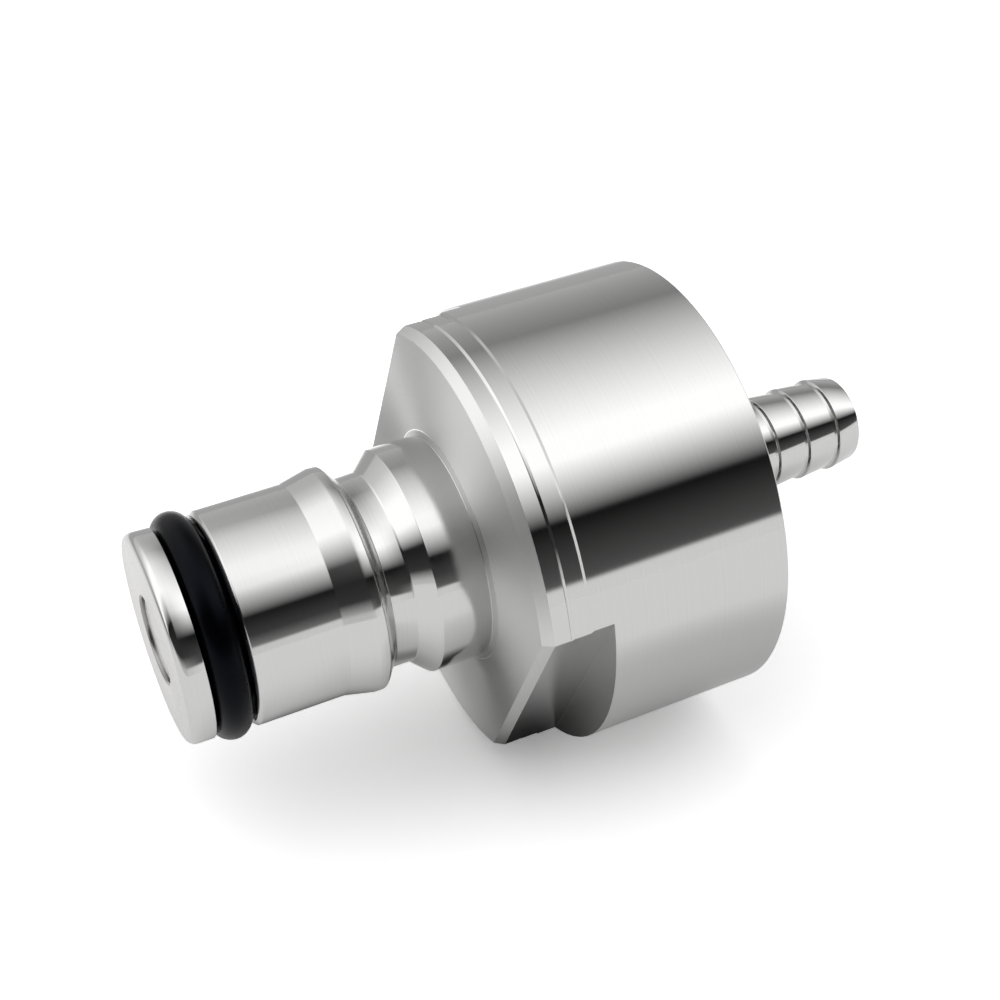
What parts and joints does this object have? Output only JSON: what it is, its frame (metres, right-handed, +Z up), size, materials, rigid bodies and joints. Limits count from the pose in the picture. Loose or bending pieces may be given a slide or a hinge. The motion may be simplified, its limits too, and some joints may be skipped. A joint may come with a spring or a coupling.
{
  "type": "carbonation cap",
  "caption": "Turned steel bottle cap with a ball-lock post on its face, a sprung poppet valve in the post, two wrench flats, an internal gasket and a hose barb through its centre.",
  "frame": {"origin": "centre of the rim that the bottle goes in at, on the axis", "axes": "+X along the axis from the post to the barb; +Z up with the cap lying on its side; the wrench flats are rolled 22.5 degrees about X"},
  "size_m": [0.0559, 0.033, 0.033],
  "materials": {
    "turned_steel": "fine turned and polished, fine rings about the axis",
    "barb_steel": "polished",
    "poppet_steel": "satin",
    "spring_wire": "drawn wire",
    "black_rubber": "smooth, slightly glossy",
    "inner_rubber": "smooth, matte",
    "silicone": "smooth, milky"
  },
  "bodies": {
    "cap": {"cap_body": "turned_steel", "post_o_ring": "black_rubber", "barb_insert": "barb_steel", "insert_o_ring": "inner_rubber", "bottle_gasket": "silicone", "poppet_spring": "spring_wire"},
    "valve": {"poppet": "poppet_steel", "poppet_seal": "inner_rubber"}
  },
  "joints": [
    {"name": "poppet_slide", "type": "slide", "parent": "cap", "child": "valve", "axis": [1, 0, 0], "range_m": [0, 0.0032], "stiffness_N_per_m": 1390, "springref_m": -0.0017, "deforming": ["poppet_spring"]}
  ]
}
